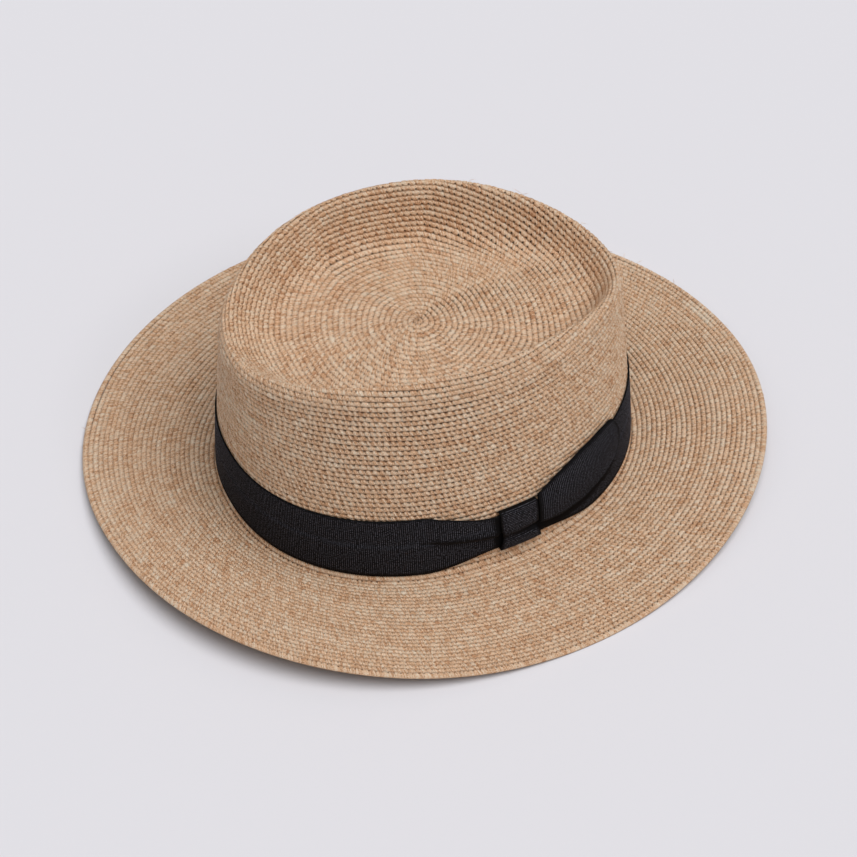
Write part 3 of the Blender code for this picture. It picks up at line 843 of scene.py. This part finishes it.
def grosgrainMaterial():
    made = bpy.data.materials.new("grosgrain")
    made.use_nodes = True
    tree = made.node_tree
    shader = tree.nodes["Principled BSDF"]
    shader.inputs["Roughness"].default_value = grosgrain["roughness"]
    shader.inputs["Specular IOR Level"].default_value = grosgrain["specular"]
    place = tree.nodes.new("ShaderNodeTexCoord")
    split = tree.nodes.new("ShaderNodeSeparateXYZ")
    tree.links.new(place.outputs["UV"], split.inputs["Vector"])
    ribs, threads = threadWave(tree, split.outputs["X"], 0.5), threadWave(tree, split.outputs["Y"], 0.0)
    highlightDots = maths(tree, "POWER", maths(tree, "MULTIPLY", ribs, threads), grosgrain["highlightPower"])
    noise = addNode(tree, "ShaderNodeTexNoise", Scale=grosgrain["patchScale"], Detail=2.0)
    tree.links.new(place.outputs["UV"], noise.inputs["Vector"])
    patches = maths(tree, "POWER", noise.outputs["Fac"], grosgrain["patchPower"])
    lit = maths(tree, "MULTIPLY", highlightDots, patches)
    # painted shade takes the painted highlight off in folds, creases and under the wing
    shadow = tree.nodes.new("ShaderNodeAttribute")
    shadow.attribute_name = "paintedShade"
    lit = maths(tree, "MULTIPLY", lit, maths(tree, "SUBTRACT", 1.0, shadow.outputs["Fac"]))
    tree.links.new(ramp(tree, lit, grosgrain["stops"]), shader.inputs["Base Color"])
    return made


grosgrainLook = grosgrainMaterial()
height, distance, angle, across, shadow = bandPath()
band = ribbonPiece("band", bandPlace, height, distance, angle, 1, across, shadow, True, "ribbon_band")
length, distance, share, across, shadow = wingPath()
loop = ribbonPiece("wing", wingPlace, length, distance, share, 0, across, shadow, False, "bow_wing")
height, distance, share, across, shadow = knotPath()
wrap = ribbonPiece("knot", knotPlace, height, distance, share, 0, across, shadow, False, "bow_knot")
print("ribbon made, round the crown", round(girth, 4))

# floor, camera and light
stage = dict(
    floorSize=12.0, floorColour=(0.775, 0.765, 0.775), floorRoughness=0.9, floorSpecular=0.1,
    azimuth=65.0, elevation=47.3, distance=2.17, lens=183.57, sensor=36.0, aimRight=0.00243, aimUp=0.00482,
)
bm = bmesh.new()
bmesh.ops.create_grid(bm, x_segments=1, y_segments=1, size=stage["floorSize"] / 2)
floorMesh = bpy.data.meshes.new("floor")
bm.to_mesh(floorMesh)
bm.free()
paper = bpy.data.materials.new("paper")
paper.use_nodes = True
paperShader = paper.node_tree.nodes["Principled BSDF"]
paperShader.inputs["Base Color"].default_value = (*stage["floorColour"], 1)
paperShader.inputs["Roughness"].default_value = stage["floorRoughness"]
paperShader.inputs["Specular IOR Level"].default_value = stage["floorSpecular"]
floorMesh.materials.append(paper)
floor = bpy.data.objects.new("floor", floorMesh)
bpy.context.scene.collection.objects.link(floor)

azimuth, elevation = math.radians(stage["azimuth"]), math.radians(stage["elevation"])
level = math.cos(elevation)
back = Vector((math.sin(azimuth) * level, -math.cos(azimuth) * level, math.sin(elevation)))
right = Vector((math.cos(azimuth), math.sin(azimuth), 0))
up = back.cross(right)
aim = Vector(toFrame) + right * stage["aimRight"] + up * stage["aimUp"]
lensData = bpy.data.cameras.new("camera")
lensData.lens, lensData.sensor_width = stage["lens"], stage["sensor"]
camera = bpy.data.objects.new("camera", lensData)
camera.location = aim + back * stage["distance"]
camera.rotation_mode = "QUATERNION"
camera.rotation_quaternion = (-back).to_track_quat("-Z", "Y")
bpy.context.scene.collection.objects.link(camera)
bpy.context.scene.camera = camera

# in the picture's own directions: right, away from the camera, up
light = dict(towards=(0.25, -0.25, 1.0), spread=0.95, power=2.42, tint=(0.962, 0.962, 1.0), skyPower=0.29)
away = Vector((-math.sin(azimuth), math.cos(azimuth), 0))
sunData = bpy.data.lights.new("window", "SUN")
sunData.energy, sunData.angle, sunData.color = light["power"], light["spread"], light["tint"]
sun = bpy.data.objects.new("window", sunData)
towards = right * light["towards"][0] + away * light["towards"][1] + Vector((0, 0, light["towards"][2]))
sun.rotation_mode = "QUATERNION"
sun.rotation_quaternion = (-towards).to_track_quat("-Z", "Y")
bpy.context.scene.collection.objects.link(sun)
world = bpy.context.scene.world or bpy.data.worlds.new("studio")
bpy.context.scene.world = world
world.use_nodes = True
sky = world.node_tree.nodes["Background"]
sky.inputs["Color"].default_value = (*light["tint"], 1)
sky.inputs["Strength"].default_value = light["skyPower"]
bpy.context.scene.view_settings.view_transform = "Standard"
print("stage set")
